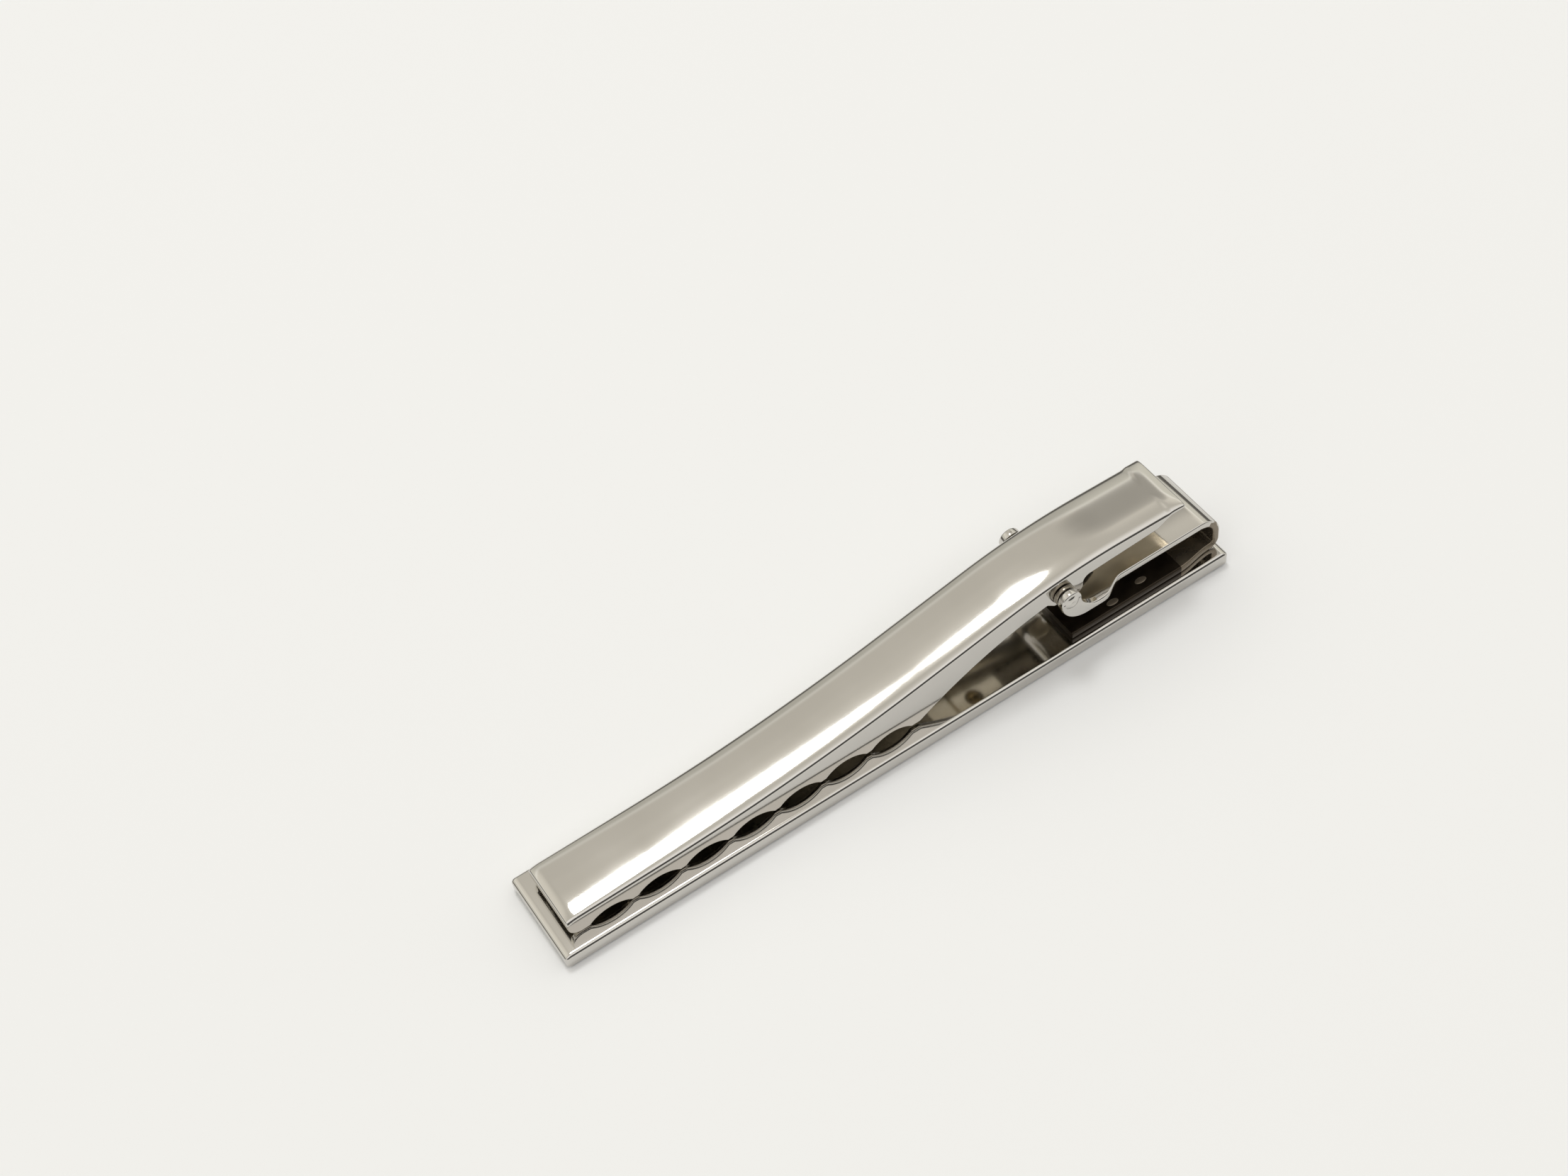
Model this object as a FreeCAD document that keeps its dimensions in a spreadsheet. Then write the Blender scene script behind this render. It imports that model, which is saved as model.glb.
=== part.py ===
import FreeCAD, Part
import math
import os
import re
import Sketcher

# Driving sizes, lengths in millimetres and angles in degrees
SIZES = [
    ("bar_length", 57.0),
    ("bar_width", 7.9),
    ("bar_thickness", 1.34),
    ("bar_edge_share", 0.24),
    ("strip_gauge", 0.6),
    ("strip_width", 5.8),
    ("strip_end_inset", 0.05),
    ("lower_leg_length", 13.85),
    ("foot_step", 0.4),
    ("foot_flare_run", 3.0),
    ("strip_drop", 1.61),
    ("bend_round", 1.4),
    ("heel_round", 0.75),
    ("flare_land", 0.4),
    ("flare_run", 2.2),
    ("ear_end_radius", 0.87),
    ("hinge_side_room", 0.45),
    ("pin_from_end", 14.24),
    ("pin_radius", 0.45),
    ("pin_running_gap", 0.03),
    ("pin_head_radius", 0.66),
    ("pin_head_rise", 0.24),
    ("washer_radius", 0.88),
    ("washer_thickness", 0.36),
    ("washer_side_play", 0.03),
    ("lever_width", 5.5),
    ("lever_gauge", 0.4),
    ("lever_corner_round", 0.55),
    ("nose_inset", 1.15),
    ("tail_inset", 3.3),
    ("nose_height", 2.06),
    ("nose_run", 7.35),
    ("nose_angle", 1.4),
    ("climb_run", 7.5),
    ("climb_angle", 11.6),
    ("hump_run", 10.0),
    ("tail_run", 5.7),
    ("tail_angle", 1.5),
    ("jaw_gap", 0.03),
    ("jaw_line_angle", 0.6),
    ("nose_round", 1.4),
    ("arch_first_run", 3.25),
    ("arch_pitch", 3.87),
    ("arch_height", 0.68),
    ("arch_land", 0.45),
    ("belly_run", 11.35),
    ("belly_radius", 31.0),
    ("belly_end_drop", 0.55),
    ("lobe_front", 1.36),
    ("lobe_front_slant", 0.6),
    ("lobe_back", 1.74),
    ("lobe_drop", 1.05),
    ("lobe_round", 0.5),
    ("tail_edge_rise", 0.3),
    ("tail_edge_round", 0.7),
    ("taper_run", 1.3),
    ("taper_inset", 1.2),
    ("taper_depth", 0.7),
    ("trim_margin", 3.0),
    ("leaf_gauge", 0.25),
    ("leaf_width", 3.0),
    ("leaf_fixed_length", 3.4),
    ("leaf_over_pin", 0.3),
    ("leaf_pin_gap", 0.13),
    ("leaf_crest_angle", 10.0),
    ("leaf_tip_angle", 58.0),
    ("leaf_tip_gap", 0.02),
    ("rivet_back", 1.7),
    ("rivet_radius", 0.4),
    ("rivet_hole_gap", 0.02),
    ("rivet_head_radius", 0.75),
    ("rivet_head_rise", 0.34),
]

# Places and sizes that follow from the driving ones
DERIVED = [
    ("bar_end", "bar_length / 2"),
    ("bar_edge_round", "bar_thickness * bar_edge_share"),
    ("lever_half", "lever_width / 2"),
    ("lever_inner_round", "lever_corner_round - lever_gauge"),
    ("nose_x", "nose_inset - bar_end"),
    ("tail_x", "bar_end - tail_inset"),
    ("hump_end_x", "tail_x - tail_run"),
    ("hump_start_x", "hump_end_x - hump_run"),
    ("sweep_end_x", "hump_start_x - climb_run"),
    ("sweep_start_x", "nose_x + nose_run"),
    ("sweep_run", "sweep_end_x - sweep_start_x"),
    ("sweep_radius", "sweep_run / (sin(climb_angle) - sin(nose_angle))"),
    ("hump_radius", "hump_run / (sin(climb_angle) + sin(tail_angle))"),
    ("nose_top", "bar_thickness + nose_height"),
    ("sweep_start_z", "nose_top + nose_run * tan(nose_angle)"),
    ("sweep_end_z", "sweep_start_z + sweep_radius * (cos(nose_angle) - cos(climb_angle))"),
    ("hump_start_z", "sweep_end_z + climb_run * tan(climb_angle)"),
    ("hump_end_z", "hump_start_z + hump_radius * (cos(tail_angle) - cos(climb_angle))"),
    ("tail_z", "hump_end_z - tail_run * tan(tail_angle)"),
    ("tail_under", "tail_z - lever_gauge"),
    ("flange_stock", "hump_end_z - bar_thickness"),
    ("trim_floor", "nose_top - flange_stock - trim_margin"),
    ("pin_x", "bar_end - pin_from_end"),
    ("leaf_root_x", "hump_start_x + lever_gauge * sin(climb_angle)"),
    ("leaf_root_z", "hump_start_z - lever_gauge * cos(climb_angle)"),
    ("leaf_start_x", "leaf_root_x - leaf_fixed_length * cos(climb_angle)"),
    ("leaf_start_z", "leaf_root_z - leaf_fixed_length * sin(climb_angle)"),
    ("leaf_crest_x", "pin_x + leaf_over_pin"),
    ("leaf_crest_radius", "(leaf_crest_x - leaf_root_x) / (sin(climb_angle) + sin(leaf_crest_angle))"),
    ("leaf_crest_z", "leaf_root_z + leaf_crest_radius * (cos(leaf_crest_angle) - cos(climb_angle))"),
    ("pin_z", "leaf_crest_z - leaf_gauge - leaf_pin_gap - pin_radius"),
    ("pin_head_curve", "(pin_head_radius^2 + pin_head_rise^2) / (2 * pin_head_rise)"),
    ("washer_inner_y", "lever_half + washer_side_play"),
    ("belly_end_x", "pin_x - lobe_front"),
    ("belly_end_z", "pin_z - belly_end_drop"),
    ("jaw_start_x", "nose_x + nose_round"),
    ("jaw_start_z", "bar_thickness + jaw_gap"),
    ("jaw_end_x", "belly_end_x - belly_run"),
    ("jaw_end_z", "jaw_start_z + (jaw_end_x - jaw_start_x) * tan(jaw_line_angle)"),
    ("jaw_run", "jaw_end_x - nose_x"),
    ("arch_radius", "((arch_pitch - arch_land)^2 / 4 + arch_height^2) / (2 * arch_height)"),
    ("arch_count", "floor((jaw_run - arch_first_run) / arch_pitch + 1 / 2)"),
    ("arch_span", "arch_pitch * (arch_count - 1)"),
    ("lobe_bottom", "pin_z - lobe_drop"),
    ("lobe_back_x", "pin_x + lobe_back"),
    ("tail_edge_z", "pin_z + tail_edge_rise"),
    ("taper_end_x", "tail_x - taper_inset"),
    ("taper_start_x", "taper_end_x - taper_run"),
    ("strip_half", "strip_gauge / 2"),
    ("strip_top", "pin_z - strip_drop"),
    ("strip_under", "strip_top - strip_gauge"),
    ("upper_leg_middle", "strip_top - strip_half"),
    ("wall_outer", "bar_end - strip_end_inset"),
    ("wall_middle", "wall_outer - strip_half"),
    ("lower_leg_middle", "bar_thickness + strip_half"),
    ("lower_leg_end", "wall_outer - lower_leg_length"),
    ("foot_half", "strip_width / 2 + foot_step"),
    ("foot_narrow", "wall_outer - heel_round"),
    ("foot_wide", "foot_narrow - foot_flare_run"),
    ("foot_curve", "(foot_flare_run^2 + foot_step^2) / (4 * foot_step)"),
    ("heel_middle_round", "heel_round - strip_half"),
    ("bend_middle_round", "bend_round - strip_half"),
    ("ear_inner", "lever_half + hinge_side_room"),
    ("ear_outer", "ear_inner + strip_gauge"),
    ("ear_front", "pin_x - ear_end_radius"),
    ("ear_back", "pin_x + ear_end_radius"),
    ("ear_front_sweep", "pin_z - strip_under"),
    ("ear_back_sweep", "pin_z - strip_top"),
    ("ear_root_front", "ear_front + ear_front_sweep"),
    ("ear_root_back", "ear_back + ear_back_sweep"),
    ("flare_wide", "ear_root_back + flare_land"),
    ("flare_narrow", "flare_wide + flare_run"),
    ("flare_step", "ear_outer - strip_width / 2"),
    ("flare_curve", "(flare_run^2 + flare_step^2) / (4 * flare_step)"),
    ("leaf_fall", "leaf_crest_z - leaf_gauge * cos(leaf_tip_angle) - strip_top - leaf_tip_gap"),
    ("leaf_fall_radius", "leaf_fall / (cos(leaf_crest_angle) - cos(leaf_tip_angle))"),
    ("leaf_tip_x", "leaf_crest_x + leaf_fall_radius * (sin(leaf_tip_angle) - sin(leaf_crest_angle))"),
    ("leaf_tip_z", "leaf_crest_z - leaf_fall_radius * (cos(leaf_crest_angle) - cos(leaf_tip_angle))"),
    ("rivet_x", "leaf_root_x - rivet_back * cos(climb_angle)"),
    ("rivet_z", "leaf_root_z - rivet_back * sin(climb_angle)"),
    ("rivet_head_curve", "(rivet_head_radius^2 + rivet_head_rise^2) / (2 * rivet_head_rise)"),
]

doc = FreeCAD.newDocument("tie_clip")
sheet = doc.addObject("Spreadsheet::Sheet", "Sizes")
NAMES = [name for name, _ in SIZES + DERIVED]
for row, (name, content) in enumerate(SIZES + DERIVED, start=1):
    sheet.set("A%d" % row, name)
    sheet.set("B%d" % row, "=" + content if isinstance(content, str) else str(content))
    sheet.setAlias("B%d" % row, name)
doc.recompute()


def value(text):
    """The number that an expression over the sheet's names comes to."""
    return float(sheet.evalExpression(text))


def bound(text):
    """The same expression, written for an object outside the sheet."""
    return re.sub(r"[a-z_]+", lambda m: "Sizes." + m.group() if m.group() in NAMES else m.group(), text)


def origin_plane(body, role):
    return next(f for f in body.Origin.OriginFeatures if f.Role == role)


def new_body(label):
    body = doc.addObject("PartDesign::Body", label)
    body.Label = label
    return body


def new_sketch(body, name, role, right="", up="", out="", turn=""):
    """A sketch on one of the body's own planes, shifted and turned by expressions."""
    sketch = body.newObject("Sketcher::SketchObject", name)
    sketch.AttachmentSupport = [(origin_plane(body, role), "")]
    sketch.MapMode = "FlatFace"
    if turn:
        sketch.AttachmentOffset = FreeCAD.Placement(FreeCAD.Vector(), FreeCAD.Rotation(FreeCAD.Vector(0, 0, 1), 1))
        sketch.setExpression("AttachmentOffset.Rotation.Angle", bound(turn))
    for axis, text in (("x", right), ("y", up), ("z", out)):
        if text:
            sketch.setExpression("AttachmentOffset.Base." + axis, bound(text))
    return sketch


def tie(sketch, constraint, text):
    """Add one dimension and bind it to its expression."""
    index = sketch.addConstraint(constraint)
    sketch.setExpression("Constraints[%d]" % index, bound(text))


def tie_point(sketch, geometry, end, right, up):
    """Hold one point at its place right of and above the sketch's origin."""
    for kind, text, axis in (("DistanceX", right, -2), ("DistanceY", up, -1)):
        if text == "0":
            sketch.addConstraint(Sketcher.Constraint("PointOnObject", geometry, end, axis))
        else:
            tie(sketch, Sketcher.Constraint(kind, geometry, end, value(text)), text)


def draw(sketch, corners, closed=True):
    """Draw lines and arcs through corners: (right, up) or (right, up, radius, side of the centre)."""
    count = len(corners)
    ends = []
    for i in range(count if closed else count - 1):
        here = corners[i]
        there = corners[(i + 1) % count]
        start = FreeCAD.Vector(value(here[0]), value(here[1]), 0)
        stop = FreeCAD.Vector(value(there[0]), value(there[1]), 0)
        if len(here) == 2:
            index = sketch.addGeometry(Part.LineSegment(start, stop), False)
            ends.append((index, 1, 2))
            continue
        radius = value(here[2])
        chord = stop - start
        middle = (start + stop) * 0.5
        across = FreeCAD.Vector(-chord.y, chord.x, 0).normalize()
        reach = math.sqrt(max(radius ** 2 - (chord.Length / 2) ** 2, 0))
        centre = middle + across * (reach if here[3] == "left" else -reach)
        first, last = (start, stop) if here[3] == "left" else (stop, start)
        begin = math.atan2(first.y - centre.y, first.x - centre.x)
        finish = math.atan2(last.y - centre.y, last.x - centre.x)
        if finish < begin:
            finish += 2 * math.pi
        circle = Part.Circle(centre, FreeCAD.Vector(0, 0, 1), radius)
        index = sketch.addGeometry(Part.ArcOfCircle(circle, begin, finish), False)
        ends.append((index, 1, 2) if here[3] == "left" else (index, 2, 1))
    for i, (index, start, stop) in enumerate(ends):
        if i + 1 < len(ends) or closed:
            after = ends[(i + 1) % len(ends)]
            sketch.addConstraint(Sketcher.Constraint("Coincident", index, stop, after[0], after[1]))
    for i, (index, start, stop) in enumerate(ends):
        tie_point(sketch, index, start, corners[i][0], corners[i][1])
        if len(corners[i]) == 4:
            tie(sketch, Sketcher.Constraint("Radius", index, value(corners[i][2])), corners[i][2])
    if not closed:
        tie_point(sketch, ends[-1][0], ends[-1][2], corners[-1][0], corners[-1][1])
    return sketch


def draw_circle(sketch, right, up, radius):
    centre = FreeCAD.Vector(value(right), value(up), 0)
    circle = Part.Circle(centre, FreeCAD.Vector(0, 0, 1), value(radius))
    index = sketch.addGeometry(circle, False)
    tie_point(sketch, index, 3, right, up)
    tie(sketch, Sketcher.Constraint("Radius", index, value(radius)), radius)
    return sketch


def pad(body, name, sketch, length, side="Symmetric"):
    feature = body.newObject("PartDesign::Pad", name)
    feature.Profile = sketch
    feature.SideType = side
    feature.setExpression("Length", bound(length))
    doc.recompute()
    return feature


def cut_through(body, name, sketch):
    """A pocket right through the body, both ways from its middle plane."""
    before = body.Shape.Volume
    feature = body.newObject("PartDesign::Pocket", name)
    feature.Profile = sketch
    feature.SideType = "Symmetric"
    feature.Type = "ThroughAll"
    doc.recompute()
    if feature.Shape.Volume >= before:
        raise RuntimeError(name + " removed nothing")
    return feature


def sweep(body, name, section, spine):
    feature = body.newObject("PartDesign::AdditivePipe", name)
    feature.Profile = section
    feature.Spine = (spine, [])
    feature.Transition = "Right corner"
    doc.recompute()
    return feature


def turn_round(body, name, sketch, axis, kind="PartDesign::Revolution"):
    feature = body.newObject(kind, name)
    feature.Profile = sketch
    feature.ReferenceAxis = (sketch, [axis])
    feature.Angle = 360
    doc.recompute()
    return feature


def mirror_across(body, name, original):
    feature = body.newObject("PartDesign::Mirrored", name)
    feature.Originals = [original]
    feature.MirrorPlane = (origin_plane(body, "XZ_Plane"), [""])
    body.Tip = feature
    doc.recompute()
    return feature


def level_edges(shape):
    """Names of the edges that lie level, which leaves out the upright ones."""
    names = []
    for number, edge in enumerate(shape.Edges, start=1):
        if abs(edge.Vertexes[0].Z - edge.Vertexes[-1].Z) < edge.Tolerance:
            names.append("Edge%d" % number)
    return names


# The flat bar, lying on its front face, with well rounded edges
front_bar = new_body("front_bar")
bar_plan = draw(new_sketch(front_bar, "bar_plan", "XY_Plane"), [
    ("-bar_end", "-bar_width / 2"),
    ("bar_end", "-bar_width / 2"),
    ("bar_end", "bar_width / 2"),
    ("-bar_end", "bar_width / 2"),
])
bar_pad = pad(front_bar, "bar_pad", bar_plan, "bar_thickness", "One side")
bar_soft = front_bar.newObject("PartDesign::Fillet", "bar_soft")
bar_soft.Base = (bar_pad, level_edges(bar_pad.Shape))
bar_soft.setExpression("Radius", bound("bar_edge_round"))
doc.recompute()

# The bent strip: a leg along the bar, a squarish bend at its end and a leg back over it
spring_bracket = new_body("spring_bracket")
strip_section = draw(new_sketch(spring_bracket, "strip_section", "YZ_Plane", out="lower_leg_end"), [
    ("-strip_width / 2", "bar_thickness"),
    ("strip_width / 2", "bar_thickness"),
    ("strip_width / 2", "bar_thickness + strip_gauge"),
    ("-strip_width / 2", "bar_thickness + strip_gauge"),
])
strip_path = draw(new_sketch(spring_bracket, "strip_path", "XZ_Plane"), [
    ("lower_leg_end", "lower_leg_middle"),
    ("wall_middle - heel_middle_round", "lower_leg_middle", "heel_middle_round", "left"),
    ("wall_middle", "lower_leg_middle + heel_middle_round"),
    ("wall_middle", "upper_leg_middle - bend_middle_round", "bend_middle_round", "left"),
    ("wall_middle - bend_middle_round", "upper_leg_middle"),
    ("ear_root_front", "upper_leg_middle"),
], closed=False)
sweep(spring_bracket, "strip_bend", strip_section, strip_path)

# The lower leg, wider than the bend that it flares out from
foot_plan = draw(new_sketch(spring_bracket, "foot_plan", "XY_Plane", out="bar_thickness"), [
    ("lower_leg_end", "-foot_half"),
    ("foot_wide", "-foot_half", "foot_curve", "left"),
    ("foot_wide + foot_flare_run / 2", "-foot_half + foot_step / 2", "foot_curve", "right"),
    ("foot_narrow", "-strip_width / 2"),
    ("foot_narrow", "strip_width / 2", "foot_curve", "right"),
    ("foot_wide + foot_flare_run / 2", "foot_half - foot_step / 2", "foot_curve", "left"),
    ("foot_wide", "foot_half"),
    ("lower_leg_end", "foot_half"),
])
pad(spring_bracket, "foot", foot_plan, "strip_gauge", "One side")

# The strip's wider end, carrying the ears
wing_plan = draw(new_sketch(spring_bracket, "wing_plan", "XY_Plane", out="strip_under"), [
    ("ear_root_front", "-ear_outer"),
    ("flare_wide", "-ear_outer", "flare_curve", "left"),
    ("flare_wide + flare_run / 2", "-ear_outer + flare_step / 2", "flare_curve", "right"),
    ("flare_narrow", "-strip_width / 2"),
    ("flare_narrow", "strip_width / 2", "flare_curve", "right"),
    ("flare_wide + flare_run / 2", "ear_outer - flare_step / 2", "flare_curve", "left"),
    ("flare_wide", "ear_outer"),
    ("ear_root_front", "ear_outer"),
])
pad(spring_bracket, "wings", wing_plan, "strip_gauge", "One side")

# The upright ears, each a curved finger with a round end about the pin
ear_side = draw(new_sketch(spring_bracket, "ear_side", "XZ_Plane", out="ear_inner"), [
    ("ear_root_front", "strip_under"),
    ("flare_wide", "strip_under"),
    ("flare_wide", "strip_top"),
    ("ear_root_back", "strip_top", "ear_back_sweep", "right"),
    ("ear_back", "pin_z", "ear_end_radius", "left"),
    ("pin_x", "pin_z + ear_end_radius", "ear_end_radius", "left"),
    ("ear_front", "pin_z", "ear_front_sweep", "left"),
])
ear_near = pad(spring_bracket, "ear_near", ear_side, "strip_gauge", "One side")
mirror_across(spring_bracket, "ear_far", ear_near)
ear_hole = draw_circle(new_sketch(spring_bracket, "ear_hole", "XZ_Plane"), "pin_x", "pin_z", "pin_radius")
cut_through(spring_bracket, "ear_holes", ear_hole)

# The lever: a channel swept along its side profile
clip_lever = new_body("clip_lever")
channel_low = "nose_top - flange_stock"
channel_turn = "nose_top - lever_corner_round"
channel_section = draw(new_sketch(clip_lever, "channel_section", "YZ_Plane", out="nose_x"), [
    ("-lever_half", channel_low),
    ("-lever_half + lever_gauge", channel_low),
    ("-lever_half + lever_gauge", channel_turn, "lever_inner_round", "right"),
    ("-lever_half + lever_corner_round", "nose_top - lever_gauge"),
    ("lever_half - lever_corner_round", "nose_top - lever_gauge", "lever_inner_round", "right"),
    ("lever_half - lever_gauge", channel_turn),
    ("lever_half - lever_gauge", channel_low),
    ("lever_half", channel_low),
    ("lever_half", channel_turn, "lever_corner_round", "left"),
    ("lever_half - lever_corner_round", "nose_top"),
    ("-lever_half + lever_corner_round", "nose_top", "lever_corner_round", "left"),
    ("-lever_half", channel_turn),
])
channel_path = draw(new_sketch(clip_lever, "channel_path", "XZ_Plane"), [
    ("nose_x", "nose_top"),
    ("sweep_start_x", "sweep_start_z", "sweep_radius", "left"),
    ("sweep_end_x", "sweep_end_z"),
    ("hump_start_x", "hump_start_z", "hump_radius", "right"),
    ("hump_end_x", "hump_end_z"),
    ("tail_x", "tail_z"),
], closed=False)
sweep(clip_lever, "channel", channel_section, channel_path)

# The lower edge of its sides: jaw line, belly, hinge lobe and the taper under the tail
side_trim = draw(new_sketch(clip_lever, "side_trim", "XZ_Plane"), [
    ("nose_x - trim_margin", "trim_floor"),
    ("nose_x - trim_margin", "jaw_start_z + nose_round"),
    ("nose_x", "jaw_start_z + nose_round", "nose_round", "left"),
    ("jaw_start_x", "jaw_start_z"),
    ("jaw_end_x", "jaw_end_z", "belly_radius", "right"),
    ("belly_end_x", "belly_end_z"),
    ("belly_end_x + lobe_front_slant", "lobe_bottom"),
    ("lobe_back_x - lobe_round", "lobe_bottom", "lobe_round", "left"),
    ("lobe_back_x", "lobe_bottom + lobe_round"),
    ("lobe_back_x", "tail_edge_z - tail_edge_round", "tail_edge_round", "right"),
    ("lobe_back_x + tail_edge_round", "tail_edge_z"),
    ("taper_start_x", "tail_under - taper_depth"),
    ("taper_end_x", "tail_under"),
    ("tail_x + trim_margin", "tail_under"),
    ("tail_x + trim_margin", "trim_floor"),
])
cut_through(clip_lever, "side_cut", side_trim)

# The waves along the jaw, one arch repeated along the jaw line
arch_line = new_sketch(clip_lever, "arch_line", "XZ_Plane", "jaw_start_x", "jaw_start_z", "", "jaw_line_angle")
draw_circle(arch_line, "arch_first_run - nose_round", "arch_height - arch_radius", "arch_radius")
arch_cut = cut_through(clip_lever, "arch_cut", arch_line)
arch_row = clip_lever.newObject("PartDesign::LinearPattern", "arch_row")
arch_row.Originals = [arch_cut]
arch_row.Direction = (arch_line, ["H_Axis"])
arch_row.setExpression("Length", bound("arch_span"))
arch_row.setExpression("Occurrences", bound("arch_count"))
clip_lever.Tip = arch_row
doc.recompute()
lever_hole = new_sketch(clip_lever, "lever_hole", "XZ_Plane")
draw_circle(lever_hole, "pin_x", "pin_z", "pin_radius + pin_running_gap")
cut_through(clip_lever, "lever_holes", lever_hole)

# The hinge pin, riveted to a low dome at both ends
hinge_pin = new_body("hinge_pin")
pin_profile = draw(new_sketch(hinge_pin, "pin_profile", "YZ_Plane", "", "pin_z", "pin_x"), [
    ("-ear_outer - pin_head_rise", "0"),
    ("ear_outer + pin_head_rise", "0", "pin_head_curve", "left"),
    ("ear_outer", "pin_head_radius"),
    ("ear_outer", "pin_radius"),
    ("-ear_outer", "pin_radius"),
    ("-ear_outer", "pin_head_radius", "pin_head_curve", "left"),
])
turn_round(hinge_pin, "pin_turned", pin_profile, "H_Axis")

# The two washers between the lever's sides and the ears
for label, side in (("pin_washer_near", "-"), ("pin_washer_far", "")):
    washer = new_body(label)
    inner = side + "washer_inner_y"
    outer = inner + (" - " if side else " + ") + "washer_thickness"
    ring = draw(new_sketch(washer, label + "_ring", "YZ_Plane", "", "pin_z", "pin_x"), [
        (inner, "pin_radius"),
        (outer, "pin_radius"),
        (outer, "washer_radius"),
        (inner, "washer_radius"),
    ])
    turn_round(washer, label + "_turned", ring, "H_Axis")

# The leaf spring: flat against the lever, over the pin and down to the strip
leaf_spring = new_body("leaf_spring")
leaf_side = draw(new_sketch(leaf_spring, "leaf_side", "XZ_Plane"), [
    ("leaf_start_x", "leaf_start_z"),
    ("leaf_start_x + leaf_gauge * sin(climb_angle)", "leaf_start_z - leaf_gauge * cos(climb_angle)"),
    ("leaf_root_x + leaf_gauge * sin(climb_angle)", "leaf_root_z - leaf_gauge * cos(climb_angle)",
     "leaf_crest_radius - leaf_gauge", "right"),
    ("leaf_crest_x - leaf_gauge * sin(leaf_crest_angle)", "leaf_crest_z - leaf_gauge * cos(leaf_crest_angle)",
     "leaf_fall_radius - leaf_gauge", "right"),
    ("leaf_tip_x - leaf_gauge * sin(leaf_tip_angle)", "leaf_tip_z - leaf_gauge * cos(leaf_tip_angle)"),
    ("leaf_tip_x", "leaf_tip_z", "leaf_fall_radius", "left"),
    ("leaf_crest_x", "leaf_crest_z", "leaf_crest_radius", "left"),
    ("leaf_root_x", "leaf_root_z"),
])
pad(leaf_spring, "leaf_pad", leaf_side, "leaf_width")
leaf_bore = draw(new_sketch(leaf_spring, "leaf_bore", "XZ_Plane", "rivet_x", "rivet_z", "", "climb_angle"), [
    ("0", "leaf_gauge"),
    ("0", "-2 * leaf_gauge"),
    ("rivet_radius + rivet_hole_gap", "-2 * leaf_gauge"),
    ("rivet_radius + rivet_hole_gap", "leaf_gauge"),
])
leaf_before = leaf_spring.Shape.Volume
turn_round(leaf_spring, "leaf_hole", leaf_bore, "V_Axis", "PartDesign::Groove")
if leaf_spring.Shape.Volume >= leaf_before:
    raise RuntimeError("leaf_hole removed nothing")

# The rivet that holds the leaf spring under the lever
spring_rivet = new_body("spring_rivet")
rivet_side = draw(new_sketch(spring_rivet, "rivet_side", "XZ_Plane", "rivet_x", "rivet_z", "", "climb_angle"), [
    ("0", "0"),
    ("0", "-leaf_gauge - rivet_head_rise", "rivet_head_curve", "left"),
    ("rivet_head_radius", "-leaf_gauge"),
    ("rivet_radius", "-leaf_gauge"),
    ("rivet_radius", "0"),
])
turn_round(spring_rivet, "rivet_turned", rivet_side, "V_Axis")

# Check every object, then write one file for each sub-part
doc.recompute()
for item in doc.Objects:
    if "Invalid" in item.State or "Error" in item.State:
        raise RuntimeError("%s did not build: %s" % (item.Name, item.State))
os.makedirs("parts", exist_ok=True)
for body in [item for item in doc.Objects if item.TypeId == "PartDesign::Body"]:
    if body.Shape.isNull() or not body.Shape.isValid() or len(body.Shape.Solids) != 1:
        raise RuntimeError(body.Label + " is not one valid solid")
    body.Shape.exportStep("parts/%s.step" % body.Label)
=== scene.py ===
import math

import bmesh
import bpy
from mathutils import Matrix, Vector


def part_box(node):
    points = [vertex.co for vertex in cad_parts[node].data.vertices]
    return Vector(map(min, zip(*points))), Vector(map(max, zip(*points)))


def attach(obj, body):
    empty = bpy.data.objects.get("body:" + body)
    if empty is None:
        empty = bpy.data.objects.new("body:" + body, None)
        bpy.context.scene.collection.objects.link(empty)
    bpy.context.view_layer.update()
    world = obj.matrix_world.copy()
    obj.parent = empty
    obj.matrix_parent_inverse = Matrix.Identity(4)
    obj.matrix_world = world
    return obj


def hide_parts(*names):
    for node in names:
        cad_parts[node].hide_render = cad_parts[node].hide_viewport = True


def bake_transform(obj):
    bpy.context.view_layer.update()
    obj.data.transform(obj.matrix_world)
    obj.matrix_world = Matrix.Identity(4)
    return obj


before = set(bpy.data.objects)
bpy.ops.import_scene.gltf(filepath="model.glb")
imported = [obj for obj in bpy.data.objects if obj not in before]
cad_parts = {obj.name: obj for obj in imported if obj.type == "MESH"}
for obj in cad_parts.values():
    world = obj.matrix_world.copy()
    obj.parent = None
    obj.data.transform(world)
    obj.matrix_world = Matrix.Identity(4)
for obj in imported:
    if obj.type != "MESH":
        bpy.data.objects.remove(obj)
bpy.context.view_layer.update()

# Millimetres to Blender's metres
MM = 0.001


def span(node):
    """The lowest and highest corner of a CAD node, in millimetres."""
    low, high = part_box(node)
    return low / MM, high / MM


# Places that come from the frame, in millimetres
BAR_LOW, BAR_HIGH = span("front_bar")
LEVER_LOW, LEVER_HIGH = span("clip_lever")
STRIP_HIGH = span("spring_bracket")[1]
PIN_LOW, PIN_HIGH = span("hinge_pin")
WASHER_LOW, WASHER_HIGH = span("pin_washer_far")
LEAF_LOW, LEAF_HIGH = span("leaf_spring")
BAR_TOP = BAR_HIGH.z
NOSE_X, TAIL_X, LEVER_HALF = LEVER_LOW.x, LEVER_HIGH.x, LEVER_HIGH.y
PIN_X, PIN_Z = (PIN_LOW.x + PIN_HIGH.x) / 2, (PIN_LOW.z + PIN_HIGH.z) / 2
WALL_X, EAR_OUTER = STRIP_HIGH.x, STRIP_HIGH.y

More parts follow.
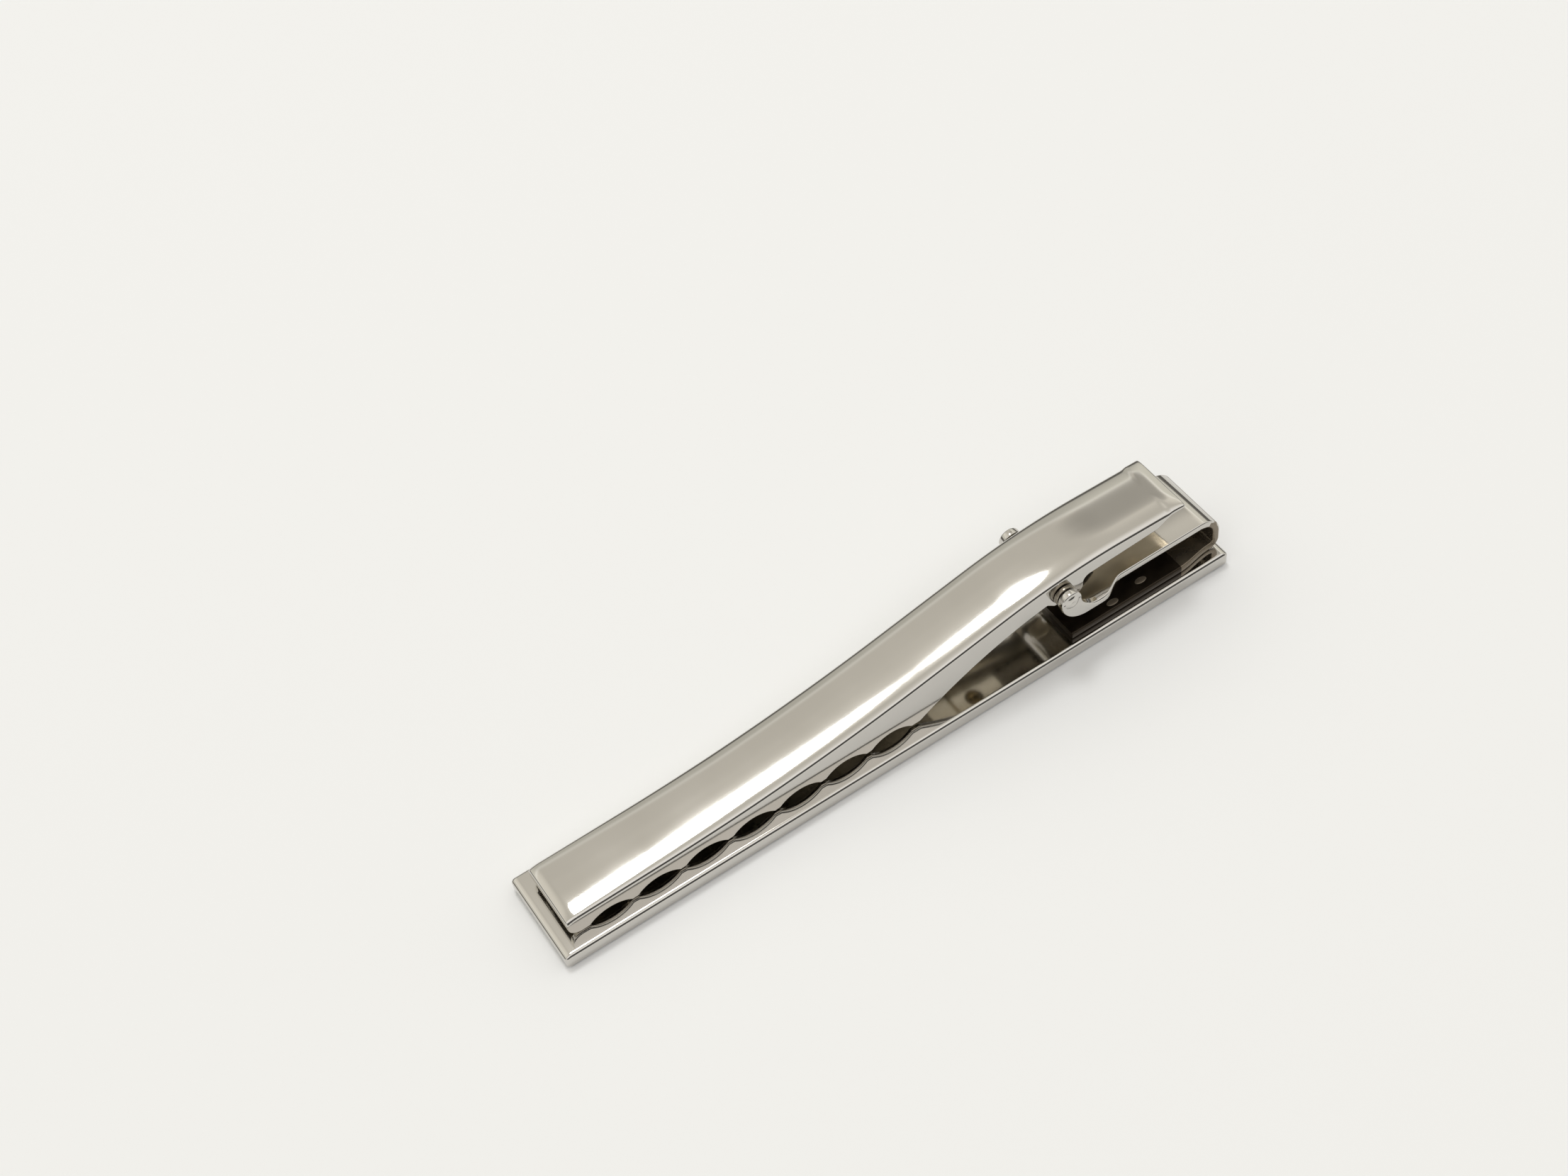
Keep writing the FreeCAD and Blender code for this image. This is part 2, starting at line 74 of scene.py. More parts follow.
# The bar's softened edges, as a share of its thickness, how much longer they run at its ends, and its corners
BAR_EDGE_SHARE = 0.24
BAR_END_STRETCH = 1.9
BAR_CORNER_ROUND = 0.3

# The lever's top line: nose, long sweep, climb, hump and tail
NOSE_HEIGHT = 2.06
NOSE_RUN = 7.35
NOSE_TILT = math.radians(1.4)
CLIMB_RUN = 7.5
CLIMB_TILT = math.radians(11.6)
HUMP_RUN = 10.0
TAIL_RUN = 5.7
TAIL_TILT = math.radians(1.5)
NOSE_DIP_RUN = 0.9
NOSE_DIP_RADIUS = 2.4
TAIL_DIP_RUN = 1.0
TAIL_DIP_RADIUS = 3.5

# The lever's sheet: thickness, crowned top as arcs of (radius, tilt that each ends at), softened cut edges
LEVER_GAUGE = 0.4
CROWN = ((20.0, 3), (6.5, 11), (1.92, 24), (0.45, 40), (0.32, 62), (0.25, 90))
CROWN_NOSE_ARC = 2
CROWN_NOSE_RADIUS = 0.25
CROWN_NOSE_RUN = 15.0
INNER_ROUND = 0.15
CUT_ROUND = 0.25
CUT_INNER_ROUND = 0.06
END_ROUND = 0.13
TAIL_END_SHARES = (0.7, 0.45, 0.25, 0.1, 0.03, 0)
CUT_GAUGE_SHARE = 0.6
LIP_GAUGE_SHARE = 0.15
INSIDE_GAUGE_SHARE = 0.8
NOSE_LIP_DEPTH = 0.85
TAIL_SIDE_DEPTH = 0.62

# The lever's lower edge: waved jaw, belly, hinge lobe and the taper under the tail
NOSE_ROUND = 0.95
JAW_TILT = math.radians(0.6)
WAVE_COUNT = 7
WAVE_FIRST_RUN = 3.25
WAVE_PITCH = 3.87
WAVE_HEIGHT = 0.68
WAVE_LAND = 0.45
# Where the inside of the jaw is darkened as painted shade, measured from the nose
JAW_SHADE_RUN = (1.5, 31.5)
BELLY_RUN = 11.35
BELLY_RADIUS = 31.0
BELLY_END_DROP = 0.55
LOBE_FRONT = 1.36
LOBE_SLANT = 0.6
LOBE_BACK = 1.74
LOBE_DROP = 1.05
LOBE_ROUND = 0.5
TAIL_EDGE_RISE = 0.3
TAIL_EDGE_ROUND = 0.7
TAPER_RUN = 1.3
TAPER_INSET = 1.2
TAPER_DEPTH = 0.7

# The bent strip with its ears
STRIP_GAUGE = 0.6
STRIP_WIDTH = 5.8
STRIP_DROP = 1.61
STRIP_EDGE_ROUND = 0.13
FOOT_LENGTH = 13.85
FOOT_STEP = 0.4
FOOT_FLARE_RUN = 3.0
# Where the foot's painted shade ends along the bar
FOOT_SHADE_X = 24.6
BEND_ROUND = 1.85
HEEL_ROUND = 0.9
FLARE_LAND = 0.4
FLARE_RUN = 2.2
EAR_RADIUS = 0.87
EAR_SINK = 0.01
WELD_RADIUS = 0.27
WELD_RISE = 0.05
WELD_STRETCH = 1.9
WELD_PLACES = ((21.5, -2.4), (18.65, -2.75))

# The pin, its collars, the leaf spring and its rivet
PIN_RADIUS = 0.45
PIN_HEAD_RADIUS = 0.6
PIN_HEAD_RISE = 0.2
PIN_DIMPLE_RADIUS = 0.24
PIN_DIMPLE_DEPTH = 0.05
PIN_HEAD_LIFT = 0.0005
COLLAR_EDGE_ROUND = 0.08
LEAF_GAUGE = 0.25
LEAF_WIDTH = 3.0
LEAF_EDGE_ROUND = 0.05
LEAF_FIXED_LENGTH = 3.4
LEAF_BRIGHT_RUN = 4.0
LEAF_OVER_PIN = 0.3
LEAF_CREST_TILT = math.radians(10)
LEAF_TIP_TILT = math.radians(58)
RIVET_BACK = 1.7
RIVET_SHANK_SHARE = 0.9
RIVET_HEAD_RADIUS = 0.75
RIVET_HEAD_RISE = 0.34

# Fineness of the meshes
ARC_STEP = math.radians(4)
LINE_STEP = 0.2
SMOOTH_ANGLE = math.radians(32)
SUPPORT = 0.03
SAME_POINT = 1e-6
MERGE_DISTANCE = 1e-4
SHARPEST_CORNER = 0.5
LEAST_ROUND = 0.02
LEAST_ROOM = 0.01
SMALL_ROUND = 0.3
SMALL_ROUND_STEPS = 5
LARGE_ROUND_STEPS = 16
EDGE_POINTS = 4
RING_POINTS = 64
CROWN_STEPS = 6
CUT_STEPS = 6
INNER_STEPS = 5
WELD_STEPS = 6
WELD_TURN_STEP = 15
DOME_STEPS = 10
DIMPLE_STEPS = 6
TURN_STEP = 6
POLE_RADIUS = 0.005
WELD_POLE_RADIUS = 0.01


# Meshes

def arc(centre, radius, start, stop):
    """Points of an arc, angles in degrees from the first axis towards the second."""
    count = max(2, math.ceil(abs(math.radians(stop - start)) / ARC_STEP))
    angles = [math.radians(start + (stop - start) * i / count) for i in range(count + 1)]
    return [(centre[0] + radius * math.cos(a), centre[1] + radius * math.sin(a)) for a in angles]


def line(start, stop):
    """Points of a straight run, a step apart."""
    count = max(1, math.ceil(math.dist(start, stop) / LINE_STEP))
    return [tuple(a + (b - a) * i / count for a, b in zip(start, stop)) for i in range(count + 1)]


def joined(*runs):
    """Runs of points put end to end, with the shared ends kept once."""
    points = []
    for run in runs:
        for point in run:
            if not points or math.dist(point, points[-1]) > SAME_POINT:
                points.append(point)
    return points


def link(mesh, name):
    piece = bpy.data.objects.new(name, mesh)
    bpy.context.scene.collection.objects.link(piece)
    return piece


def polish(mesh):
    """Merge doubles, turn the faces outwards and shade smooth between sharp edges."""
    shape = bmesh.new()
    shape.from_mesh(mesh)
    bmesh.ops.remove_doubles(shape, verts=shape.verts, dist=MERGE_DISTANCE * MM)
    bmesh.ops.dissolve_degenerate(shape, edges=shape.edges, dist=MERGE_DISTANCE * MM)
    bmesh.ops.recalc_face_normals(shape, faces=shape.faces)
    for face in shape.faces:
        face.smooth = True
    for edge in shape.edges:
        edge.smooth = len(edge.link_faces) == 2 and edge.calc_face_angle() < SMOOTH_ANGLE
    shape.to_mesh(mesh)
    shape.free()


def skin(name, rings, material):
    """A closed skin over rings of equally many points, in millimetres."""
    count = len(rings[0])
    faces = []
    for i in range(len(rings) - 1):
        for j in range(count):
            k = (j + 1) % count
            faces.append((i * count + j, i * count + k, (i + 1) * count + k, (i + 1) * count + j))
    faces.append(tuple(range(count)))
    faces.append(tuple((len(rings) - 1) * count + j for j in range(count)))
    mesh = bpy.data.meshes.new(name)
    mesh.from_pydata([tuple(c * MM for c in point) for ring in rings for point in ring], [], faces)
    polish(mesh)
    mesh.materials.append(material)
    return link(mesh, name)


def inset_outline(outline, inset):
    """A closed outline, drawn anticlockwise, moved inwards by one distance."""
    moved = []
    for i, (x, z) in enumerate(outline):
        before = outline[i - 1]
        after = outline[(i + 1) % len(outline)]
        first = Vector((x - before[0], z - before[1])).normalized()
        second = Vector((after[0] - x, after[1] - z)).normalized()
        across = Vector((-first.y - second.y, first.x + second.x)).normalized()
        reach = inset / max(SHARPEST_CORNER, across.dot(Vector((-first.y, first.x))))
        moved.append((x + across.x * reach, z + across.y * reach))
    return moved


def rounded_steps(radius):
    """(inset, depth) pairs of a quarter round, from the flat face out to the side."""
    steps = SMALL_ROUND_STEPS if radius < SMALL_ROUND else LARGE_ROUND_STEPS
    turns = [math.pi / 2 * i / steps for i in range(steps + 1)]
    return [(radius - radius * math.sin(t), radius - radius * math.cos(t)) for t in turns]


def merge(name, pieces):
    """Several meshes as one piece."""
    shape = bmesh.new()
    materials = []
    for piece in pieces:
        part = piece.data
        shift = len(materials)
        materials += list(part.materials)
        known = len(shape.faces)
        shape.from_mesh(part)
        shape.faces.ensure_lookup_table()
        for face in shape.faces[known:]:
            face.material_index += shift
    mesh = bpy.data.meshes.new(name)
    shape.to_mesh(mesh)
    shape.free()
    for material in materials:
        mesh.materials.append(material)
    for piece in pieces:
        bpy.data.objects.remove(piece)
    return link(mesh, name)


# Node trees

def add(tree, kind, inputs=None, **settings):
    """Add a node with its settings, and its inputs as values or links."""
    made = tree.nodes.new(kind)
    for key, setting in settings.items():
        setattr(made, key, setting)
    for key, given in (inputs or {}).items():
        if isinstance(given, bpy.types.NodeSocket):
            tree.links.new(given, made.inputs[key])
        else:
            made.inputs[key].default_value = given
    return made


def paint(code):
    """An sRGB hex colour as linear red, green, blue and alpha."""
    shares = [int(code[i:i + 2], 16) / 255 for i in (1, 3, 5)]
    return tuple(s / 12.92 if s <= 0.04045 else ((s + 0.055) / 1.055) ** 2.4 for s in shares) + (1.0,)


def new_material(name):
    """A material with an empty tree, its surface shader and its Object coordinates."""
    material = bpy.data.materials.new(name)
    material.use_nodes = True
    tree = material.node_tree
    tree.nodes.clear()
    shader = add(tree, "ShaderNodeBsdfPrincipled")
    add(tree, "ShaderNodeOutputMaterial", {"Surface": shader.outputs["BSDF"]})
    place = add(tree, "ShaderNodeTexCoord").outputs["Object"]
    return material, tree, shader, place


CLOUD_DETAIL = 4.0
CLOUD_RANGE = (0.3, 0.7)
GRAIN_DETAIL = 2.0


def metal(name, colour, dark, rough, smooth, cloud_mm, grain_mm, grain_depth_mm, bare=1.0):
    """Metal, the given share of it bare, with clouded tone and gloss and a fine grain, all at real sizes."""
    material, tree, shader, place = new_material(name)
    shader.inputs["Metallic"].default_value = bare
    cloud = add(tree, "ShaderNodeTexNoise", {"Vector": place, "Scale": 1 / (cloud_mm * MM),
                                             "Detail": CLOUD_DETAIL})
    tone = add(tree, "ShaderNodeMix", {"Factor": cloud.outputs["Fac"], "A": paint(dark), "B": paint(colour)},
               data_type="RGBA")
    tree.links.new(tone.outputs["Result"], shader.inputs["Base Color"])
    gloss = add(tree, "ShaderNodeMapRange", {"Value": cloud.outputs["Fac"], "From Min": CLOUD_RANGE[0],
                                             "From Max": CLOUD_RANGE[1], "To Min": smooth, "To Max": rough})
    tree.links.new(gloss.outputs["Result"], shader.inputs["Roughness"])
    grain = add(tree, "ShaderNodeTexNoise", {"Vector": place, "Scale": 1 / (grain_mm * MM),
                                             "Detail": GRAIN_DETAIL})
    bump = add(tree, "ShaderNodeBump", {"Height": grain.outputs["Fac"], "Distance": grain_depth_mm * MM,
                                        "Strength": 1.0})
    tree.links.new(bump.outputs["Normal"], shader.inputs["Normal"])
    return material


def new_tree(name, sizes):
    """A Geometry Nodes tree with one geometry input, named sizes and a material."""
    tree = bpy.data.node_groups.new(name, "GeometryNodeTree")
    tree.interface.new_socket("Geometry", in_out="INPUT", socket_type="NodeSocketGeometry")
    for size in sizes:
        kind = "NodeSocketVector" if size == "Place" else "NodeSocketFloat"
        tree.interface.new_socket(size, in_out="INPUT", socket_type=kind)
    tree.interface.new_socket("Finish", in_out="INPUT", socket_type="NodeSocketMaterial")
    tree.interface.new_socket("Geometry", in_out="OUTPUT", socket_type="NodeSocketGeometry")
    return tree, add(tree, "NodeGroupInput").outputs


def finish_tree(tree, given, shape):
    """End a tree with real geometry, smooth shading and its finish."""
    real = add(tree, "GeometryNodeRealizeInstances", {"Geometry": shape})
    smooth = add(tree, "GeometryNodeSetShadeSmooth", {"Geometry": real.outputs["Geometry"]})
    clad = add(tree, "GeometryNodeSetMaterial", {"Geometry": smooth.outputs["Geometry"],
                                                 "Material": given["Finish"]})
    add(tree, "NodeGroupOutput", {"Geometry": clad.outputs["Geometry"]})


def grown(name, tree, sizes, material, path=()):
    """Run a tree over a path of points, in millimetres, and keep the result as a plain mesh."""
    mesh = bpy.data.meshes.new(name)
    points = [tuple(c * MM for c in point) for point in path]
    mesh.from_pydata(points, [(i, i + 1) for i in range(len(points) - 1)], [])
    piece = link(mesh, name)
    modifier = piece.modifiers.new(tree.name, "NODES")
    modifier.node_group = tree
    given = dict(sizes, Finish=material)
    for socket in tree.interface.items_tree:
        if socket.in_out == "INPUT" and socket.name in given:
            modifier[socket.identifier] = given[socket.name]
    made = bpy.data.meshes.new_from_object(piece.evaluated_get(bpy.context.evaluated_depsgraph_get()))
    piece.modifiers.clear()
    piece.data = made
    made.name = name
    polish(made)
    return piece


def bent_strip_tree():
    """A flat strip with rounded edges swept along a path, flared at its upper and its lower end."""
    tree, given = new_tree("bent_strip", ["Width", "Gauge", "Edge Round", "Split Z",
                                          "Upper Narrow X", "Upper Wide X", "Upper Step",
                                          "Lower Narrow X", "Lower Wide X", "Lower Step"])
    path = add(tree, "GeometryNodeMeshToCurve", {"Mesh": given["Geometry"]})
    level = add(tree, "GeometryNodeSetCurveNormal", {"Curve": path.outputs["Curve"], "Normal": (0, 1, 0)},
                mode="FREE")
    section = add(tree, "GeometryNodeCurvePrimitiveQuadrilateral", {"Width": given["Width"],
                                                                    "Height": given["Gauge"]})
    soft = add(tree, "GeometryNodeFilletCurve", {"Curve": section.outputs["Curve"], "Count": EDGE_POINTS,
                                                 "Radius": given["Edge Round"]}, mode="POLY")
    swept = add(tree, "GeometryNodeCurveToMesh", {"Curve": level.outputs["Curve"],
                                                  "Profile Curve": soft.outputs["Curve"], "Fill Caps": True})
    place = add(tree, "ShaderNodeSeparateXYZ", {"Vector": add(tree, "GeometryNodeInputPosition").outputs[0]})
    reaches = []
    for end, test in (("Upper", "GREATER_THAN"), ("Lower", "LESS_THAN")):
        widen = add(tree, "ShaderNodeMapRange", {"Value": place.outputs["X"],
                                                 "From Min": given[end + " Narrow X"],
                                                 "From Max": given[end + " Wide X"],
                                                 "To Max": given[end + " Step"]},
                    interpolation_type="SMOOTHSTEP")
        there = add(tree, "ShaderNodeMath", {0: place.outputs["Z"], 1: given["Split Z"]}, operation=test)
        reaches.append(add(tree, "ShaderNodeMath", {0: widen.outputs["Result"], 1: there.outputs[0]},
                           operation="MULTIPLY").outputs[0])
    reach = add(tree, "ShaderNodeMath", {0: reaches[0], 1: reaches[1]}, operation="ADD")
    side = add(tree, "ShaderNodeMath", {0: place.outputs["Y"]}, operation="SIGN")
    shift = add(tree, "ShaderNodeMath", {0: reach.outputs[0], 1: side.outputs[0]}, operation="MULTIPLY")
    offset = add(tree, "ShaderNodeCombineXYZ", {"Y": shift.outputs[0]})
    flared = add(tree, "GeometryNodeSetPosition", {"Geometry": swept.outputs["Mesh"],
                                                   "Offset": offset.outputs["Vector"]})
    finish_tree(tree, given, flared.outputs["Geometry"])
    return tree


def collar_pair_tree():
    """A rounded ring about the hinge's line, set once on each side of the middle plane."""
    tree, given = new_tree("collar_pair", ["Ring Radius", "Ring Width", "Thickness", "Edge Round", "Spread",
                                           "Place"])
    circle = add(tree, "GeometryNodeCurvePrimitiveCircle", {"Resolution": RING_POINTS,
                                                              "Radius": given["Ring Radius"]})
    section = add(tree, "GeometryNodeCurvePrimitiveQuadrilateral", {"Width": given["Ring Width"],
                                                                    "Height": given["Thickness"]})
    soft = add(tree, "GeometryNodeFilletCurve", {"Curve": section.outputs["Curve"], "Count": EDGE_POINTS,
                                                 "Radius": given["Edge Round"]}, mode="POLY")
    ring = add(tree, "GeometryNodeCurveToMesh", {"Curve": circle.outputs["Curve"],
                                                 "Profile Curve": soft.outputs["Curve"]})
    upright = add(tree, "GeometryNodeTransform", {"Geometry": ring.outputs["Mesh"],
                                                  "Rotation": (math.pi / 2, 0, 0)})
    half = add(tree, "ShaderNodeMath", {0: given["Spread"], 1: -0.5}, operation="MULTIPLY")
    first = add(tree, "ShaderNodeCombineXYZ", {"Y": half.outputs[0]})
    start = add(tree, "ShaderNodeVectorMath", {0: given["Place"], 1: first.outputs["Vector"]},
                operation="ADD")
    step = add(tree, "ShaderNodeCombineXYZ", {"Y": given["Spread"]})
    points = add(tree, "GeometryNodeMeshLine", {"Count": 2, "Start Location": start.outputs["Vector"],
                                                "Offset": step.outputs["Vector"]})
    pair = add(tree, "GeometryNodeInstanceOnPoints", {"Points": points.outputs["Mesh"],
                                                      "Instance": upright.outputs["Geometry"]})
    finish_tree(tree, given, pair.outputs["Instances"])
    return tree


# Finishes, whose grains are drawn coarser than real polishing marks so that they show

# Bright rhodium-like plate on polished brass: a warm pale mirror with faint polishing haze
polished_plate = metal("mirror_polished_plate", "#D2CFCA", "#C8C5BF", 0.11, 0.07, 6.0, 0.5, 0.0002)

# The same plate inside the lever, laid thin and only half polished: hazier and yellowed by the brass
inner_plate = metal("half_polished_inner_plate", "#DDD5C4", "#CCC2AE", 0.22, 0.12, 1.5, 0.12, 0.002, 0.8)

# Inside the waved jaw the plate is darkened as painted shade: dark and dull, so the arches read as black
painted_jaw_shade = metal("jaw_painted_shade", "#8E8676", "#6F6859", 0.32, 0.22, 1.2, 0.12, 0.003, 0.7)

# Thin plate inside the strip's bend, darkened as painted shade: dull and brown-grey
painted_bend_shade = metal("bend_painted_shade", "#8D8272", "#736A5B", 0.34, 0.22, 1.2, 0.12, 0.002, 0.85)

# The strip's foot, welded to the bar, darkened as painted shade under the upper leg: nearly black-brown
painted_foot_shade = metal("foot_painted_shade", "#443B31", "#2E2821", 0.4, 0.28, 1.0, 0.12, 0.003, 0.9)

# The bead of a weld spot: a soft dull smear, paler than the foot's painted shade
weld_bead = metal("satin_weld_bead", "#94897A", "#766C5E", 0.55, 0.45, 0.6, 0.1, 0.003, 0.8)

# The collars' plate, darkened as painted shade between the lever's sides and the ears: greyer and hazier, so
# that the rings stand apart from the ears
painted_collar_shade = metal("collar_painted_shade", "#A39C90", "#867F73", 0.2, 0.1, 1.0, 0.12, 0.002)

# Rolled spring steel, darkened as painted shade under the lever: dark, satin
painted_leaf_shade = metal("leaf_steel_painted_shade", "#6E6659", "#4A443A", 0.34, 0.22, 1.0, 0.1, 0.003)

# Brass rivet, dulled: yellow-brown and satin
rivet_metal = metal("dull_brass", "#7E6D4A", "#5C4F37", 0.35, 0.22, 0.8, 0.1, 0.003)


# The bar

def bar_ring(inset, z):
    half_x = BAR_HIGH.x - inset * BAR_END_STRETCH
    half_y = BAR_HIGH.y - inset
    corner = max(BAR_CORNER_ROUND - inset, LEAST_ROUND)
    ring = []
    for side_x, side_y, start in ((1, 1, 0), (-1, 1, 90), (-1, -1, 180), (1, -1, 270)):
        centre = (side_x * (half_x - corner), side_y * (half_y - corner))
        ring += arc(centre, corner, start, start + 90)
    return [(x, y, z) for x, y in ring]


def build_bar():
    """The flat bar, with its long and short edges rounded above and below."""
    steps = rounded_steps((BAR_HIGH.z - BAR_LOW.z) * BAR_EDGE_SHARE)
    flat = (steps[0][0] + SUPPORT, 0.0)
    below = [bar_ring(inset, BAR_LOW.z + depth) for inset, depth in [flat, *steps]]
    above = [bar_ring(inset, BAR_TOP - depth) for inset, depth in [flat, *steps]]
    return skin("bar_plate", below + above[::-1], polished_plate)


# The lever

SWEEP_START_X = NOSE_X + NOSE_RUN
HUMP_END_X = TAIL_X - TAIL_RUN
HUMP_START_X = HUMP_END_X - HUMP_RUN
SWEEP_END_X = HUMP_START_X - CLIMB_RUN
SWEEP_RADIUS = (SWEEP_END_X - SWEEP_START_X) / (math.sin(CLIMB_TILT) - math.sin(NOSE_TILT))
HUMP_RADIUS = HUMP_RUN / (math.sin(CLIMB_TILT) + math.sin(TAIL_TILT))


def lever_top(x):
    """Height of the lever's top line."""
    z = BAR_TOP + NOSE_HEIGHT + (min(x, SWEEP_START_X) - NOSE_X) * math.tan(NOSE_TILT)
    if x > SWEEP_START_X:
        tilt = math.asin(math.sin(NOSE_TILT) + (min(x, SWEEP_END_X) - SWEEP_START_X) / SWEEP_RADIUS)
        z += SWEEP_RADIUS * (math.cos(NOSE_TILT) - math.cos(tilt))
    if x > SWEEP_END_X:
        z += (min(x, HUMP_START_X) - SWEEP_END_X) * math.tan(CLIMB_TILT)
    if x > HUMP_START_X:
        tilt = math.asin(math.sin(CLIMB_TILT) - (min(x, HUMP_END_X) - HUMP_START_X) / HUMP_RADIUS)
        z += HUMP_RADIUS * (math.cos(tilt) - math.cos(CLIMB_TILT))
    if x > HUMP_END_X:
        z -= (x - HUMP_END_X) * math.tan(TAIL_TILT)
    nose_dip = (NOSE_DIP_RUN, NOSE_DIP_RADIUS, x - NOSE_X)
    tail_dip = (TAIL_DIP_RUN, TAIL_DIP_RADIUS, TAIL_X - x)
    for run, radius, from_end in (nose_dip, tail_dip):
        past = min(max(run - from_end, 0), run)
        z -= radius - math.sqrt(radius ** 2 - past ** 2)
    return z


def jaw_line(x):
    """Height of the straight line that the jaw's waves are cut into."""
    return LEVER_LOW.z + (x - NOSE_X - NOSE_ROUND) * math.tan(JAW_TILT)


def waved_jaw():
    """The jaw's line with its row of shallow arches, from the nose round to the belly."""
    half = (WAVE_PITCH - WAVE_LAND) / 2
    radius = (half ** 2 + WAVE_HEIGHT ** 2) / (2 * WAVE_HEIGHT)
    spread = math.degrees(math.asin(half / radius))
    runs = []
    for i in range(WAVE_COUNT):
        x = NOSE_X + WAVE_FIRST_RUN + WAVE_PITCH * i
        runs.append(arc((x, jaw_line(x) + WAVE_HEIGHT - radius), radius, 90 + spread, 90 - spread))
    return joined(*runs)


def arc_between(start, stop, radius):
    """Points of the shallow arc between two points, bulging upwards."""
    chord = Vector(stop) - Vector(start)
    middle = (Vector(start) + Vector(stop)) / 2
    down = Vector((chord.y, -chord.x)).normalized()
    centre = middle + down * math.sqrt(radius ** 2 - (chord.length / 2) ** 2)
    angles = [math.degrees(math.atan2(p[1] - centre.y, p[0] - centre.x)) for p in (start, stop)]
    count = math.ceil(chord.length / LINE_STEP)
    return [(centre.x + radius * math.cos(math.radians(a)), centre.y + radius * math.sin(math.radians(a)))
            for a in (angles[0] + (angles[1] - angles[0]) * i / count for i in range(count + 1))]


def tail_under(x):
    """Height of the tail's turned-down sides, which thin out at its end to clear the strip."""
    past = max(1 - (TAIL_X - x) / TAIL_DIP_RUN, 0)
    return lever_top(x) - TAIL_SIDE_DEPTH + (TAIL_SIDE_DEPTH - LEVER_GAUGE) * past ** 2


def lever_lower_edge():
    """Points of the lever's lower edge from nose to tail, each further along than the last."""
    jaw_start = (NOSE_X + NOSE_ROUND, LEVER_LOW.z)
    belly_end = (PIN_X - LOBE_FRONT, PIN_Z - BELLY_END_DROP)
    jaw_end_x = belly_end[0] - BELLY_RUN
    jaw_end = (jaw_end_x, jaw_line(jaw_end_x))
    lobe_low = PIN_Z - LOBE_DROP
    lobe_x = PIN_X + LOBE_BACK
    edge_z = PIN_Z + TAIL_EDGE_RISE
    taper_end_x = TAIL_X - TAPER_INSET
    taper_end = (taper_end_x, tail_under(taper_end_x))
    taper_start = (taper_end_x - TAPER_RUN, taper_end[1] - TAPER_DEPTH)
    tail_xs = [x for x, z in line((taper_end_x, 0), (TAIL_X - END_ROUND, 0))]
    tail_xs += [TAIL_X - END_ROUND * share for share in TAIL_END_SHARES]
    lobe_front = (belly_end[0] + LOBE_SLANT, lobe_low)
    return joined(
        arc((jaw_start[0], jaw_start[1] + NOSE_ROUND), NOSE_ROUND, 180, 270),
        waved_jaw(),
        arc_between(jaw_end, belly_end, BELLY_RADIUS),
        line(belly_end, lobe_front),
        line(lobe_front, (lobe_x - LOBE_ROUND, lobe_low)),
        arc((lobe_x - LOBE_ROUND, lobe_low + LOBE_ROUND), LOBE_ROUND, -90, 0),
        arc((lobe_x + TAIL_EDGE_ROUND, edge_z - TAIL_EDGE_ROUND), TAIL_EDGE_ROUND, 180, 90),
        line((lobe_x + TAIL_EDGE_ROUND, edge_z), taper_start),
        line(taper_start, taper_end),
        [(x, tail_under(x)) for x in tail_xs],
    )


def crown_arcs(x):
    """The crown's arcs at one place along the lever: the third tightens towards the nose."""
    arcs = list(CROWN)
    radius, tilt = arcs[CROWN_NOSE_ARC]
    share = min((x - NOSE_X) / CROWN_NOSE_RUN, 1)
    arcs[CROWN_NOSE_ARC] = (CROWN_NOSE_RADIUS + (radius - CROWN_NOSE_RADIUS) * share, tilt)
    return arcs


def crown_curve(arcs, inset, share):
    """(reach, drop) pairs of the crowned top, from its flat middle out to the side."""
    points = [(0.0, 0.0)]
    start = 0.0
    for radius, degrees in arcs:
        curve = max(radius - inset, LEAST_ROUND) * share
        stop = math.radians(degrees)
        reach, drop = points[-1]
        for i in range(1, CROWN_STEPS + 1):
            tilt = start + (stop - start) * i / CROWN_STEPS
            points.append((reach + curve * (math.sin(tilt) - math.sin(start)),
                           drop + curve * (math.cos(start) - math.cos(tilt))))
        start = stop
    return points


